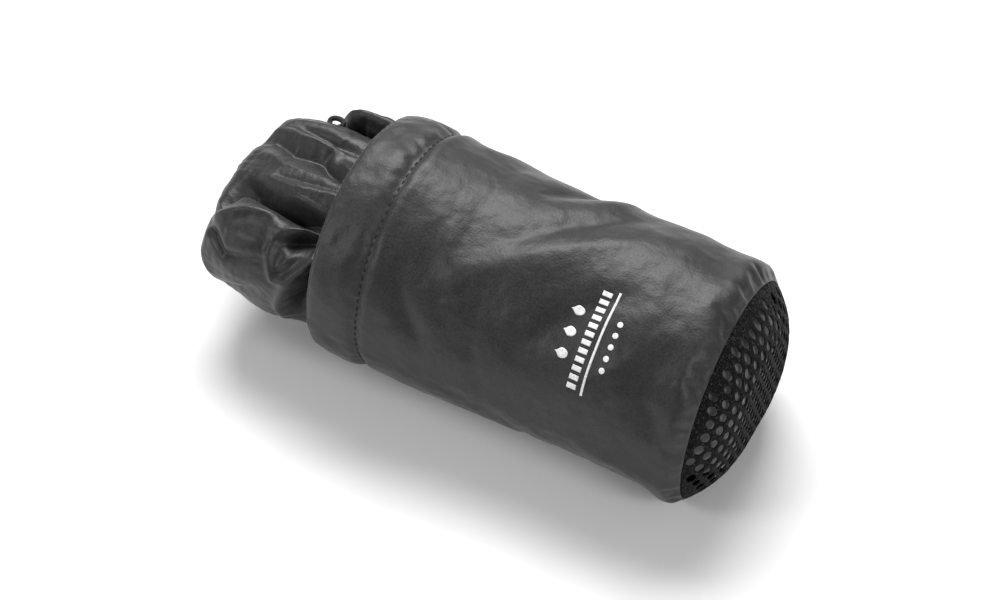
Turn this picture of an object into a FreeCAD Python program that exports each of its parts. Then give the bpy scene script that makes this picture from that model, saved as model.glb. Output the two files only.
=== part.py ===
import FreeCAD, Part
import math
import os
import Sketcher
from FreeCAD import Placement, Rotation, Vector

# A stuff sack lying on its side with a folded rain cover standing out of its mouth.
# X runs along the sack: the mouth faces -X and the mesh bottom faces +X. The sack rests on z = 0.
# The origin is under the middle of the whole object, on the surface that it lies on.

DRIVING = {
    # whole object
    "overall_length": 222.0,  # from the tip of the folded cover to the tip of the mesh
    "lobe_reach": 58.0,  # how far the folded cover stands out of the mouth
    "dome_depth": 13.0,  # how far the mesh bottom bulges past its seam
    "band_width": 21.2,  # the sewn channel at the mouth
    # cross sections of the sack: a flat underside, two round corners and a half circle
    "belly_half_width": 48.5,
    "belly_height": 84.0,
    "band_half_width": 48.3,
    "band_height": 89.0,
    "seam_half_width": 46.1,
    "seam_height": 76.9,
    "belly_share": 0.22,  # how far in from each end of the panel the belly is full size
    # cloth
    "cloth": 0.8,  # the panel's wall
    "rest_trim": 0.2,  # the underside is pressed flat by this much
    "mesh_thickness": 1.2,
    "apex_share": 0.55,  # how far up the mesh bottom's tip is
    # the channel at the mouth and its elastic
    "channel_outer": 1.4,  # outer layer of the channel
    "channel_inner": 0.8,  # inner layer of the channel
    "channel_build": 3.6,  # the whole channel
    "fold_lip": 1.4,  # cloth turned over at the mouth's edge
    "hem_root": 3.0,  # where both layers are sewn together
    "elastic_width": 13.0,
    "elastic_gap": 0.1,
    # stitching
    "stitch_pitch": 3.0,
    "stitch_length": 2.0,
    "stitch_radius": 0.3,
    "stitch_groove": 0.65,
    "stitch_inset": 1.7,  # from the stitch line to the end of the channel
    # seams inside the sack
    "binding_width": 7.0,
    "binding_thickness": 1.0,
    "strip_width": 8.0,
    "strip_thickness": 1.2,
    "seam_gap": 0.1,
    "binding_gap": 0.4,
    # the print
    "print_at": 57.6,  # along X
    "print_tilt": 43.0,  # degrees from straight up, towards -Y
    "print_layer": 0.12,
    "print_clear": 0.02,
    "rule_length": 41.0,
    "rule_width": 0.9,
    "bar_step": 3.3,
    "bar_width": 1.9,
    "bar_height": 3.6,
    "bar_row": -4.2,  # from the rule, along X
    "drop_step": 8.5,
    "drop_radius": 1.9,
    "drop_row": -11.7,
    "dot_step": 4.4,
    "dot_size": 2.2,
    "dot_row": 5.0,
    # the folded rain cover
    "bundle_half_width": 40.2,
    "bundle_height": 68.0,
    "bundle_lift": 5.4,
    "bundle_round": 19.0,
    "bundle_end_gap": 4.6,  # to the outside of the mesh
    "bundle_stand_out": 1.0,
    "loop_radius": 4.0,
    "loop_tube": 1.1,
    "loop_reach": 33.0,  # from the bundle's face
    "loop_y": 30.4,
    "loop_height": 58.5,
    "loop_gap": 0.05,
}

# each fold outside the mouth: how far it reaches, then its middle and half sizes at the root and at the tip
FOLDS = {
    "front": (57.0, -17.8, 41.7, 26.4, 28.4, -22.6, 39.6, 24.6, 25.2),
    "top": (56.5, 20.5, 38.0, 10.8, 25.7, 22.6, 43.5, 11.8, 23.0),
    "back": (34.5, 39.2, 43.0, 4.4, 15.0, 39.6, 49.8, 4.4, 18.0),
}
FOLD_SIZES = (
    "reach",
    "root_y",
    "root_z",
    "root_half_y",
    "root_half_z",
    "tip_y",
    "tip_z",
    "tip_half_y",
    "tip_half_z",
)
# (share of the reach, share of the size that it would have there if it didn't round off)
FOLD_TAPER = ((0.0, 1.0), (0.5, 0.96), (0.85, 0.74), (1.0, 0.35))
DOME_TAPER = ((0.0, 1.0), (0.5, 0.88), (0.85, 0.56), (1.0, 0.22))

N_DROPS = 3
N_BARS = 12
N_DOTS = 5

MOUTH = "(sizes.lobe_reach - sizes.overall_length / 2)"
BAND_END = f"({MOUTH} + sizes.band_width)"
TIP = "(sizes.overall_length / 2)"
SEAM = f"({TIP} - sizes.dome_depth)"
FACE = f"({MOUTH} - sizes.bundle_stand_out)"

FLUSH = 1e-6


def make_sizes(doc):
    """The spreadsheet that every sub-part is bound to."""
    sheet = doc.addObject("Spreadsheet::Sheet", "sizes")
    cells = dict(DRIVING)
    for fold, numbers in FOLDS.items():
        for name, number in zip(FOLD_SIZES, numbers):
            cells[f"{fold}_{name}"] = number
    for row, (alias, number) in enumerate(cells.items(), start=1):
        sheet.set(f"A{row}", alias)
        sheet.set(f"B{row}", str(number))
        sheet.setAlias(f"B{row}", alias)
    doc.recompute()
    return sheet


def origin_plane(body, role):
    return next(f for f in body.Origin.OriginFeatures if f.Role == role)


def section_sketch(body, name, station, lift="0", shift="0"):
    """An empty sketch across X at a station, its local axes along Y and Z."""
    sketch = body.newObject("Sketcher::SketchObject", name)
    sketch.AttachmentSupport = [(origin_plane(body, "YZ_Plane"), "")]
    sketch.MapMode = "FlatFace"
    sketch.setExpression("AttachmentOffset.Base.x", shift)
    sketch.setExpression("AttachmentOffset.Base.y", lift)
    sketch.setExpression("AttachmentOffset.Base.z", station)
    return sketch


def bind(sketch, kind, places, name, expression):
    """A driving constraint whose value comes from the spreadsheet."""
    number = sketch.evalExpression(expression)
    index = sketch.addConstraint(Sketcher.Constraint(kind, *places, number))
    sketch.renameConstraint(index, name)
    sketch.setExpression(f"Constraints.{name}", expression)


def add_round_loop(sketch, tag, half_width, height, base=None):
    """A closed loop: a flat underside, two round corners and a half circle, all tangent."""
    w = sketch.evalExpression(half_width)
    tall = sketch.evalExpression(height)
    low = sketch.evalExpression(base) if base else 0.0
    corner = tall - w
    flat = w - corner
    middle = low + corner
    up = Vector(0, 0, 1)
    quarter = math.pi / 2
    line, right, top, left = sketch.addGeometry(
        [
            Part.LineSegment(Vector(-flat, low, 0), Vector(flat, low, 0)),
            Part.ArcOfCircle(Part.Circle(Vector(flat, middle, 0), up, corner), -quarter, 0),
            Part.ArcOfCircle(Part.Circle(Vector(0, middle, 0), up, w), 0, 2 * quarter),
            Part.ArcOfCircle(Part.Circle(Vector(-flat, middle, 0), up, corner), 2 * quarter, 3 * quarter),
        ],
        False,
    )
    for before, after in ((line, right), (right, top), (top, left), (left, line)):
        sketch.addConstraint(Sketcher.Constraint("Tangent", before, 2, after, 1))
    sketch.addConstraint(Sketcher.Constraint("Horizontal", line))
    sketch.addConstraint(Sketcher.Constraint("PointOnObject", top, 3, -2))
    sketch.addConstraint(Sketcher.Constraint("Equal", right, left))
    bind(sketch, "Radius", (top,), f"{tag}_half_width", half_width)
    bind(sketch, "Radius", (right,), f"{tag}_corner", f"{height} - {half_width}")
    if base:
        bind(sketch, "DistanceY", (-1, 1, line, 1), f"{tag}_base", base)
    else:
        sketch.addConstraint(Sketcher.Constraint("PointOnObject", line, 1, -1))


def pad(body, name, sketch, length):
    feature = body.newObject("PartDesign::Pad", name)
    feature.Profile = sketch
    feature.setExpression("Length", length)
    return feature


def pocket(body, name, sketch, length, towards_plus_x=False):
    feature = body.newObject("PartDesign::Pocket", name)
    feature.Profile = sketch
    feature.setExpression("Length", length)
    feature.Reversed = towards_plus_x
    return feature


def edges_across(shape, x):
    """Names of the edges that lie wholly in the plane at x."""
    found = []
    for i, edge in enumerate(shape.Edges, start=1):
        box = edge.BoundBox
        if abs(box.XMin - x) < FLUSH and abs(box.XMax - x) < FLUSH:
            found.append(f"Edge{i}")
    return found


def outer_edges_across(shape, x):
    """The same, for the outer loop only, where a plane holds two loops."""
    names = edges_across(shape, x)
    edges = {name: shape.Edges[int(name[4:]) - 1] for name in names}
    loops = Part.sortEdges(list(edges.values()))
    widest = max(loops, key=lambda loop: Part.Wire(loop).BoundBox.YLength)
    return [n for n, e in edges.items() if any(e.isSame(o) for o in widest)]


def fillet(body, name, base, edges, radius):
    feature = body.newObject("PartDesign::Fillet", name)
    feature.Base = (base, edges)
    feature.setExpression("Radius", radius)
    return feature


def panel_stations():
    """Where the sack's panel has a stated cross section: (station, half width, height)."""
    run = f"({SEAM} - {BAND_END})"
    belly = ("sizes.belly_half_width", "sizes.belly_height")
    return [
        (BAND_END, "sizes.band_half_width", "sizes.band_height"),
        (f"({BAND_END} + sizes.belly_share * {run})", *belly),
        (f"({SEAM} - sizes.belly_share * {run})", *belly),
        (SEAM, "sizes.seam_half_width", "sizes.seam_height"),
    ]


def panel_loft(body, kind, tag, inset):
    """The panel's outline, a given distance inside its outer surface, as a loft along X."""
    sketches = []
    for i, (station, half_width, height) in enumerate(panel_stations()):
        sketch = section_sketch(body, f"{tag}_section_{i}", station, f"{inset} - sizes.rest_trim")
        add_round_loop(
            sketch, "skin", f"({half_width} - {inset})", f"({height} + sizes.rest_trim - 2 * {inset})"
        )
        sketches.append(sketch)
    loft = body.newObject(f"PartDesign::{kind}", f"{tag}_loft")
    loft.Profile = sketches[0]
    loft.Sections = [(sketch, [""]) for sketch in sketches[1:]]
    return loft


def panel_layer(doc, name, outer_inset, inner_inset):
    """A tube between two distances inside the panel's outer surface."""
    body = doc.addObject("PartDesign::Body", name)
    panel_loft(body, "AdditiveLoft", "outer", outer_inset)
    panel_loft(body, "SubtractiveLoft", "inner", inner_inset)
    return body


def make_sack_panel(doc):
    """The tube of coated cloth, its underside pressed flat."""
    body = panel_layer(doc, "sack_panel", "0", "sizes.cloth")
    trim = section_sketch(body, "underside_sketch", BAND_END, "-sizes.rest_trim")
    corners = [(-1, 0), (1, 0), (1, 1), (-1, 1)]
    half = DRIVING["belly_half_width"]
    points = [Vector(half * y, DRIVING["rest_trim"] * z, 0) for y, z in corners]
    lines = trim.addGeometry([Part.LineSegment(a, b) for a, b in zip(points, points[1:] + points[:1])], False)
    for before, after in zip(lines, lines[1:] + lines[:1]):
        trim.addConstraint(Sketcher.Constraint("Coincident", before, 2, after, 1))
    trim.addConstraint(Sketcher.Constraint("Horizontal", lines[0]))
    trim.addConstraint(Sketcher.Constraint("Vertical", lines[1]))
    trim.addConstraint(Sketcher.Constraint("Vertical", lines[3]))
    trim.addConstraint(Sketcher.Constraint("PointOnObject", lines[0], 1, -1))
    trim.addConstraint(Sketcher.Constraint("Symmetric", lines[2], 1, lines[2], 2, -2))
    bind(trim, "DistanceX", (lines[0], 1, lines[0], 2), "width", "2 * sizes.belly_half_width")
    bind(trim, "DistanceY", (lines[1], 1, lines[1], 2), "depth", "sizes.rest_trim")
    doc.recompute()
    pocket(body, "underside_trim", trim, f"{SEAM} - {BAND_END}", towards_plus_x=True)
    return body


def make_mouth_band(doc):
    """The channel's outer layer, turned over at the mouth, with a groove where it is sewn."""
    body = doc.addObject("PartDesign::Body", "mouth_band")
    outer = section_sketch(body, "outer_sketch", MOUTH)
    add_round_loop(outer, "outer", "sizes.band_half_width", "sizes.band_height")
    pad(body, "band_pad", outer, "sizes.band_width")
    doc.recompute()

    bore = section_sketch(body, "bore_sketch", BAND_END)
    add_inset_band_loop(bore, "bore", "sizes.channel_build")
    pocket(body, "mouth_bore", bore, "sizes.band_width")
    room = section_sketch(body, "room_sketch", BAND_END)
    add_inset_band_loop(room, "room", "sizes.channel_outer")
    room_pocket = pocket(body, "channel_room", room, "sizes.band_width - sizes.fold_lip")
    doc.recompute()

    lip_edges = outer_edges_across(room_pocket.Shape, room_pocket.evalExpression(MOUTH))
    fillet(body, "mouth_round", room_pocket, lip_edges, "sizes.fold_lip * 0.8")

    groove_end = f"{BAND_END} - sizes.stitch_inset + 0.5"
    groove = section_sketch(body, "groove_sketch", groove_end, "-2")
    add_round_loop(groove, "clear", "(sizes.band_half_width + 2)", "(sizes.band_height + 4)")
    add_round_loop(
        groove,
        "floor",
        "(sizes.band_half_width - sizes.stitch_groove)",
        "(sizes.band_height - 2 * sizes.stitch_groove)",
        "(sizes.stitch_groove + 2)",
    )
    pocket(body, "stitch_groove", groove, "1")
    return body


def add_inset_band_loop(sketch, tag, inset):
    """A loop a given distance inside the channel's outer surface."""
    add_round_loop(
        sketch, tag, f"(sizes.band_half_width - {inset})", f"(sizes.band_height - 2 * {inset})", inset
    )


def band_ring(body, tag, start, length, outer_inset, inner_inset):
    """A tube inside the channel, between two distances from its outer surface."""
    sketch = section_sketch(body, f"{tag}_sketch", start)
    add_inset_band_loop(sketch, "outer", outer_inset)
    add_inset_band_loop(sketch, "inner", inner_inset)
    return pad(body, f"{tag}_pad", sketch, length)


def make_band_facing(doc):
    """The channel's inner layer, thick at its root where it is sewn to the outer layer."""
    body = doc.addObject("PartDesign::Body", "band_facing")
    thin = "(sizes.channel_build - sizes.channel_inner)"
    start = f"{MOUTH} + sizes.fold_lip"
    band_ring(body, "layer", start, "sizes.band_width - sizes.fold_lip", thin, "sizes.channel_build")
    root = f"{BAND_END} - sizes.hem_root"
    band_ring(body, "root", root, "sizes.hem_root", "sizes.channel_outer", "sizes.channel_build")
    return body


def make_mouth_elastic(doc):
    """The flat elastic in the channel."""
    body = doc.addObject("PartDesign::Body", "mouth_elastic")
    room = "(sizes.band_width - sizes.fold_lip - sizes.hem_root)"
    start = f"{MOUTH} + sizes.fold_lip + ({room} - sizes.elastic_width) / 2"
    outer = "(sizes.channel_outer + sizes.elastic_gap)"
    inner = "(sizes.channel_build - sizes.channel_inner - sizes.elastic_gap)"
    band_ring(body, "elastic", start, "sizes.elastic_width", outer, inner)
    return body


def dome_loft(body, kind, tag, inset):
    """The bulge of the mesh bottom, a given distance inside its outer surface, as a loft along X."""
    sketches = []
    for i, (far, share) in enumerate(DOME_TAPER):
        sketch = section_sketch(body, f"{tag}_section_{i}", f"{SEAM} + {far} * (sizes.dome_depth - {inset})")
        base = f"({1 - share:.2f} * sizes.apex_share * sizes.seam_height + {inset})"
        add_round_loop(
            sketch,
            "dome",
            f"({share} * sizes.seam_half_width - {inset})",
            f"({share} * sizes.seam_height - 2 * {inset})",
            base,
        )
        sketches.append(sketch)
    loft = body.newObject(f"PartDesign::{kind}", f"{tag}_loft")
    loft.Profile = sketches[0]
    loft.Sections = [(sketch, [""]) for sketch in sketches[1:]]
    return loft


def make_mesh_bottom(doc):
    """The mesh bottom: a shallow dome with an open back."""
    body = doc.addObject("PartDesign::Body", "mesh_bottom")
    outside = dome_loft(body, "AdditiveLoft", "outer", "0")
    inside = dome_loft(body, "SubtractiveLoft", "inner", "sizes.mesh_thickness")
    doc.recompute()
    if inside.Shape.Volume >= outside.Shape.Volume:
        raise RuntimeError("the mesh bottom was not hollowed")
    return body


def make_bottom_binding(doc):
    """The bound seam allowance inside the mesh seam."""
    body = doc.addObject("PartDesign::Body", "bottom_binding")
    outer = "(sizes.cloth + sizes.binding_gap)"
    inner = f"({outer} + sizes.binding_thickness)"
    start = f"{SEAM} - sizes.binding_width - sizes.seam_gap"
    sketch = section_sketch(body, "binding_sketch", start)
    for tag, inset in (("outer", outer), ("inner", inner)):
        add_round_loop(
            sketch, tag, f"(sizes.seam_half_width - {inset})", f"(sizes.seam_height - 2 * {inset})", inset
        )
    pad(body, "binding_pad", sketch, "sizes.binding_width")
    return body


def make_box(doc, name, low, high):
    """A box between two corners given as expressions."""
    box = doc.addObject("Part::Box", name)
    for i, (side, axis) in enumerate((("Length", "x"), ("Width", "y"), ("Height", "z"))):
        box.setExpression(side, f"{high[i]} - {low[i]}")
        box.setExpression(f"Placement.Base.{axis}", low[i])
    return box


def make_common(doc, name, base, tool):
    common = doc.addObject("Part::Common", name)
    common.Base = base
    common.Tool = tool
    return common


def side_seam_run():
    """The side seam's strip: (start along X, end along X, height of its middle)."""
    middle = "(sizes.belly_height - sizes.belly_half_width)"
    return f"({BAND_END} + 2)", f"({SEAM} - sizes.binding_width - 2)", middle


def make_side_seam(doc):
    """The seam allowance along the back of the tube, inside."""
    outer = "(sizes.cloth + sizes.seam_gap)"
    inner = f"({outer} + sizes.strip_thickness)"
    layer = panel_layer(doc, "side_seam_layer", outer, inner)
    start, end, middle = side_seam_run()
    low = (start, "0", f"({middle} - sizes.strip_width / 2)")
    high = (end, "(2 * sizes.belly_half_width)", f"({middle} + sizes.strip_width / 2)")
    return make_common(doc, "side_seam", layer, make_box(doc, "side_seam_box", low, high))


def make_stitch(sheet, middle, along):
    """One straight stitch of round thread, centred on a point."""
    length = sheet.get("stitch_length")
    start = middle - along * (length / 2)
    return Part.makeCylinder(sheet.get("stitch_radius"), length, start, along)


def loop_frames(half_width, height, base, pitch):
    """Evenly spaced places round a cross section: (point, outward normal, direction along it), in YZ."""
    corner = height - half_width
    flat = half_width - corner
    middle = base + corner
    runs = (
        (2 * flat, Vector(0, 0, 0), 0.0, None),
        (corner * math.pi / 2, Vector(0, flat, middle), -math.pi / 2, corner),
        (half_width * math.pi, Vector(0, 0, middle), 0.0, half_width),
        (corner * math.pi / 2, Vector(0, -flat, middle), math.pi, corner),
    )
    total = sum(run[0] for run in runs)
    count = round(total / pitch)
    for i in range(count):
        at = (i + 0.5) * total / count
        for length, centre, begin, radius in runs:
            if at <= length:
                break
            at -= length
        if radius is None:
            yield Vector(0, at - flat, base), Vector(0, 0, -1), Vector(0, 1, 0)
        else:
            angle = begin + at / radius
            outward = Vector(0, math.cos(angle), math.sin(angle))
            yield centre + outward * radius, outward, Vector(0, -math.sin(angle), math.cos(angle))


def make_ring_of_stitches(doc, sheet, name, station, section, side):
    """A row of stitches round a cross section, on its outside (side 1) or its inside (side -1)."""
    clear = sheet.get("stitch_radius") + sheet.get("print_clear") * 2
    stitches = []
    for point, outward, along in loop_frames(*section, sheet.get("stitch_pitch")):
        middle = Vector(station, 0, 0) + point + outward * (side * clear)
        stitches.append(make_stitch(sheet, middle, along))
    row = doc.addObject("Part::Feature", name)
    row.Shape = Part.makeCompound(stitches)
    return row


def make_band_stitching(doc, sheet):
    groove = sheet.get("stitch_groove")
    half_width = sheet.get("band_half_width") - groove
    height = sheet.get("band_height") - 2 * groove
    station = sheet.evalExpression(f"{BAND_END} - sizes.stitch_inset")
    return make_ring_of_stitches(doc, sheet, "band_stitching", station, (half_width, height, groove), 1)


def make_bottom_stitching(doc, sheet):
    inset = sheet.get("cloth") + sheet.get("binding_gap") + sheet.get("binding_thickness")
    half_width = sheet.get("seam_half_width") - inset
    height = sheet.get("seam_height") - 2 * inset
    station = sheet.evalExpression(f"{SEAM} - sizes.binding_width / 2")
    return make_ring_of_stitches(doc, sheet, "bottom_stitching", station, (half_width, height, inset), -1)


def make_side_seam_stitching(doc, sheet, strip):
    """Stitches along the inner face of the side seam's strip."""
    start, end, height = (sheet.evalExpression(e) for e in side_seam_run())
    length = sheet.get("stitch_length")
    run = end - start - 2 * length
    count = int(run / sheet.get("stitch_pitch"))
    clear = sheet.get("stitch_radius") + 2 * sheet.get("seam_gap")
    reach = 2 * sheet.get("belly_half_width")
    stitches = []
    for i in range(count):
        x = start + length + (i + 0.5) * run / count
        probe = Part.makeLine(Vector(x, 0, height), Vector(x, reach, height))
        inner_face_y = probe.common(strip.Shape).Vertexes[0].Y
        stitches.append(make_stitch(sheet, Vector(x, inner_face_y - clear, height), Vector(1, 0, 0)))
    row = doc.addObject("Part::Feature", "side_seam_stitching")
    row.Shape = Part.makeCompound(stitches)
    return row


def bind_rectangle(sketch, tag, centre, size):
    """A rectangle in the print's sketch, its centre and size from the spreadsheet."""
    x, y = (sketch.evalExpression(e) for e in centre)
    wide, tall = (sketch.evalExpression(e) for e in size)
    corners = [
        Vector(x + sx * wide / 2, y + sy * tall / 2, 0) for sx, sy in ((-1, -1), (1, -1), (1, 1), (-1, 1))
    ]
    lines = sketch.addGeometry(
        [Part.LineSegment(a, b) for a, b in zip(corners, corners[1:] + corners[:1])], False
    )
    for before, after in zip(lines, lines[1:] + lines[:1]):
        sketch.addConstraint(Sketcher.Constraint("Coincident", before, 2, after, 1))
    for line, way in zip(lines, ("Horizontal", "Vertical", "Horizontal", "Vertical")):
        sketch.addConstraint(Sketcher.Constraint(way, line))
    bind(sketch, "DistanceX", (lines[0], 1, lines[0], 2), f"{tag}_wide", size[0])
    bind(sketch, "DistanceY", (lines[1], 1, lines[1], 2), f"{tag}_tall", size[1])
    bind(sketch, "DistanceX", (-1, 1, lines[0], 1), f"{tag}_x", f"{centre[0]} - {size[0]} / 2")
    bind(sketch, "DistanceY", (-1, 1, lines[0], 1), f"{tag}_y", f"{centre[1]} - {size[1]} / 2")


def bind_circle(sketch, tag, centre, radius):
    x, y = (sketch.evalExpression(e) for e in centre)
    size = sketch.evalExpression(radius)
    circle = sketch.addGeometry(Part.Circle(Vector(x, y, 0), Vector(0, 0, 1), size), False)
    bind(sketch, "Radius", (circle,), f"{tag}_radius", radius)
    bind(sketch, "DistanceX", (-1, 1, circle, 3), f"{tag}_x", centre[0])
    bind(sketch, "DistanceY", (-1, 1, circle, 3), f"{tag}_y", centre[1])


def row_offset(i, count):
    """Steps from the middle of a row of count pieces to piece i."""
    return i - (count - 1) / 2


def make_print_mark(doc):
    """White ink on the panel: a rule, a row of bars, a row of rain drops and a row of dots."""
    layer = panel_layer(doc, "print_layer", "(-sizes.print_layer - sizes.print_clear)", "(-sizes.print_clear)")
    body = doc.addObject("PartDesign::Body", "print_shapes")
    sketch = body.newObject("Sketcher::SketchObject", "print_sketch")
    sketch.AttachmentSupport = [(origin_plane(body, "XY_Plane"), "")]
    sketch.MapMode = "FlatFace"
    across = "(50 + {} * sizes.{})"  # the sketch is drawn 50 mm off its origin, clear of its axes
    along = "(50 + sizes.{})"
    bind_rectangle(sketch, "rule", ("50", "50"), ("sizes.rule_width", "sizes.rule_length"))
    for i in range(N_BARS):
        centre = (along.format("bar_row"), across.format(row_offset(i, N_BARS), "bar_step"))
        bind_rectangle(sketch, f"bar_{i}", centre, ("sizes.bar_height", "sizes.bar_width"))
    for i in range(N_DROPS):
        centre = (along.format("drop_row"), across.format(row_offset(i, N_DROPS), "drop_step"))
        bind_circle(sketch, f"drop_{i}", centre, "sizes.drop_radius")
    for i in range(N_DOTS):
        centre = (along.format("dot_row"), across.format(row_offset(i, N_DOTS), "dot_step"))
        bind_rectangle(sketch, f"dot_{i}", centre, ("sizes.dot_size", "sizes.dot_size"))
    doc.recompute()
    pad(body, "print_pad", sketch, "2 * sizes.belly_half_width")
    doc.recompute()
    tilt = Rotation(Vector(1, 0, 0), DRIVING["print_tilt"])
    axis_height = DRIVING["belly_height"] - DRIVING["belly_half_width"]
    onto_axis = tilt.multVec(Vector(-50, -50, 0))
    place = Vector(DRIVING["print_at"], 0, axis_height) + onto_axis
    body.Placement = Placement(place, tilt)
    return make_common(doc, "print_mark", layer, body)


def make_cover_bundle(doc):
    """The part of the folded rain cover that is inside the sack."""
    body = doc.addObject("PartDesign::Body", "cover_bundle")
    sketch = section_sketch(body, "bundle_sketch", FACE)
    add_round_loop(
        sketch, "bundle", "sizes.bundle_half_width", "sizes.bundle_height", "sizes.bundle_lift"
    )
    end = f"({TIP} - sizes.bundle_end_gap)"
    block = pad(body, "bundle_pad", sketch, f"{end} - {FACE}")
    doc.recompute()
    end_edges = edges_across(block.Shape, block.evalExpression(end))
    fillet(body, "bundle_end", block, end_edges, "sizes.bundle_round")
    return body


def add_oval(sketch, half_wide, half_tall):
    """An upright ellipse about the sketch's origin."""
    wide = sketch.evalExpression(half_wide)
    tall = sketch.evalExpression(half_tall)
    oval = sketch.addGeometry(Part.Ellipse(Vector(0, tall, 0), Vector(-wide, 0, 0), Vector(0, 0, 0)), False)
    sketch.exposeInternalGeometry(oval)
    long_axis, short_axis = oval + 1, oval + 2
    sketch.addConstraint(Sketcher.Constraint("Coincident", oval, 3, -1, 1))
    sketch.addConstraint(Sketcher.Constraint("Vertical", long_axis))
    bind(sketch, "Distance", (long_axis,), "tall", f"2 * {half_tall}")
    bind(sketch, "Distance", (short_axis,), "wide", f"2 * {half_wide}")


def make_fold(doc, name, fold):
    """One fold of the cover outside the mouth, rounding off towards its tip."""
    body = doc.addObject("PartDesign::Body", name)
    sketches = []
    for i, (far, share) in enumerate(FOLD_TAPER):
        station = f"{FACE} - {far} * sizes.{fold}_reach"
        y, z, half_y, half_z = (
            f"({1 - far:g} * sizes.{fold}_root_{size} + {far} * sizes.{fold}_tip_{size})"
            for size in ("y", "z", "half_y", "half_z")
        )
        sketch = section_sketch(body, f"{fold}_section_{i}", station, z, y)
        add_oval(sketch, f"{share} * {half_y}", f"{share} * {half_z}")
        sketches.append(sketch)
    loft = body.newObject("PartDesign::AdditiveLoft", f"{fold}_loft")
    loft.Profile = sketches[0]
    loft.Sections = [(sketch, [""]) for sketch in sketches[1:]]
    return body


def make_rim_elastic(doc, fold):
    """A bight of the cover's rim elastic that comes out of a fold and goes back in."""
    ring = doc.addObject("Part::Torus", "rim_ring")
    ring.setExpression("Radius1", "sizes.loop_radius")
    ring.setExpression("Radius2", "sizes.loop_tube")
    ring.setExpression("Placement.Base.x", f"{FACE} - sizes.loop_reach")
    ring.setExpression("Placement.Base.y", "sizes.loop_y")
    ring.setExpression("Placement.Base.z", "sizes.loop_height")
    bight = doc.addObject("Part::Cut", "cover_rim_elastic")
    bight.Base = ring
    bight.Tool = fold
    bight.setExpression("Placement.Base.y", "sizes.loop_gap")
    return bight


def make_everything(doc):
    """Every sub-part, in the order that the object is put together."""
    sheet = make_sizes(doc)
    parts = [
        make_sack_panel(doc),
        make_mouth_band(doc),
        make_band_facing(doc),
        make_mouth_elastic(doc),
        make_mesh_bottom(doc),
        make_bottom_binding(doc),
        make_side_seam(doc),
        make_print_mark(doc),
        make_cover_bundle(doc),
        make_fold(doc, "cover_front_lobe", "front"),
        make_fold(doc, "cover_back_fold", "back"),
    ]
    top_fold = make_fold(doc, "cover_top_fold", "top")
    parts += [top_fold, make_rim_elastic(doc, top_fold)]
    doc.recompute()
    parts.append(make_band_stitching(doc, sheet))
    parts.append(make_bottom_stitching(doc, sheet))
    parts.append(make_side_seam_stitching(doc, sheet, doc.getObject("side_seam")))
    doc.recompute()
    return parts


def check(doc, parts):
    """Stops before anything is written if a feature failed or a shape is not a sound solid."""
    for item in doc.Objects:
        if "Invalid" in item.State or "Error" in item.State:
            raise RuntimeError(f"{item.Name} is {item.State}")
    for part in parts:
        if part.Shape.isNull() or not part.Shape.isValid() or part.Shape.Volume <= 0:
            raise RuntimeError(f"{part.Label} has no sound shape")


def main():
    doc = FreeCAD.newDocument("stuff_sack")
    parts = make_everything(doc)
    check(doc, parts)
    os.makedirs("parts", exist_ok=True)
    for part in parts:
        part.Shape.exportStep(os.path.join("parts", f"{part.Label}.step"))


main()
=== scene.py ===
import math
import random

import bmesh
import bpy
import numpy as np
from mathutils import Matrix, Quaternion, Vector, noise
from mathutils.bvhtree import BVHTree


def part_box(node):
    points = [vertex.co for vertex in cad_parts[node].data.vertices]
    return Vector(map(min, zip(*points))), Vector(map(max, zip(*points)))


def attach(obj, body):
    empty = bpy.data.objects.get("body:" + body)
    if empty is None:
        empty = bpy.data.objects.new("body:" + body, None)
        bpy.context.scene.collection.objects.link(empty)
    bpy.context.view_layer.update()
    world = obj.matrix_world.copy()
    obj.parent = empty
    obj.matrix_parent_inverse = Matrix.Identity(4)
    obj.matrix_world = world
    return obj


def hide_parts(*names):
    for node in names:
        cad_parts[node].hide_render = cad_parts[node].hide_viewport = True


# A stuff sack with a folded rain cover standing out of its mouth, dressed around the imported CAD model.
# Metres. X runs along the sack from the mouth (-X) to the mesh bottom (+X); it lies on z = 0.

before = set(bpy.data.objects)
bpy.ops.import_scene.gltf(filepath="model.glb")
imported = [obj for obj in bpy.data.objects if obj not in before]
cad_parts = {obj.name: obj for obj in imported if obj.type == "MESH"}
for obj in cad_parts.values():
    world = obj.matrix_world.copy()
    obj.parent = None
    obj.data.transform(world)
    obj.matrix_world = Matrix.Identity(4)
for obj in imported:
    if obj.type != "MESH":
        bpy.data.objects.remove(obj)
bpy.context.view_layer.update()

MM = 0.001
TURN = 2 * math.pi

# places along X, from the CAD
MOUTH_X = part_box("mouth_band")[0].x
BAND_END_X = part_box("mouth_band")[1].x
STITCH_X = sum(corner.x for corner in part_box("band_stitching")) / 2
SEAM_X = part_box("mesh_bottom")[0].x
TIP_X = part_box("mesh_bottom")[1].x

# cross sections of the sack, from the CAD: (half width, height)
BAND = (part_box("mouth_band")[1].y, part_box("mouth_band")[1].z)
BELLY = (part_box("sack_panel")[1].y - 0.6 * MM, 84 * MM)
SEAM = (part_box("mesh_bottom")[1].y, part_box("mesh_bottom")[1].z)
BELLY_SHARE = 0.22
AXIS_Z = 37 * MM  # the height of a line inside the sack, towards which its surface is looked up
OUTSIDE = 0.2  # the distance from that line at which the look starts

# the camera that the sack was seen with
CAMERA_AZIMUTH = 25.8
CAMERA_ELEVATION = 47.0
CAMERA_ROLL = 2.0
CAMERA_DISTANCE = 0.873
CAMERA_LENS = 84.5
CAMERA_TARGET = Vector((9 * MM, 0, 41 * MM))
CAMERA_SHIFT = (-0.0216, -0.0086)


# ---- geometry helpers


def link(name, mesh):
    obj = bpy.data.objects.new(name, mesh)
    bpy.context.scene.collection.objects.link(obj)
    return obj


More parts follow.
